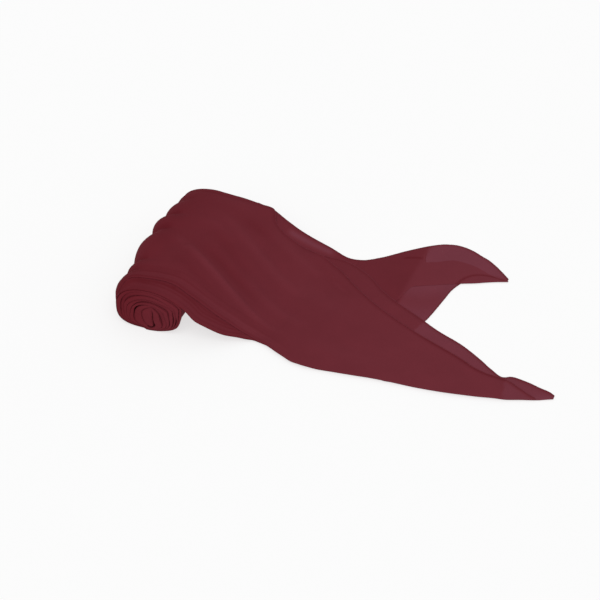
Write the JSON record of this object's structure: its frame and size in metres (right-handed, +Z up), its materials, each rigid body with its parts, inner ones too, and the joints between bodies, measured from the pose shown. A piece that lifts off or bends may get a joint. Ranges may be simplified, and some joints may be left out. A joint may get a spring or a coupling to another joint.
{
  "type": "rolled sheer scarf",
  "caption": "Sheer wine-red scarf folded lengthwise, rolled up from one end, its other end run out flat in pointed tails.",
  "frame": {"origin": "middle of the footprint, on the surface the scarf rests on", "axes": "+X along the strip from the roll to the tails, +Y across the strip towards the rear tail, +Z up"},
  "size_m": [0.446, 0.2547, 0.0508],
  "materials": {
    "sheer_cloth": "soft sheer crepe weave",
    "wound_cloth": "soft sheer crepe weave, many plies deep"
  },
  "bodies": {
    "root": {"roll": "wound_cloth", "top_ply": "sheer_cloth", "second_ply": "sheer_cloth", "bottom_ply": "sheer_cloth", "front_under_ply": "sheer_cloth", "turned_corner": "sheer_cloth"}
  },
  "joints": []
}
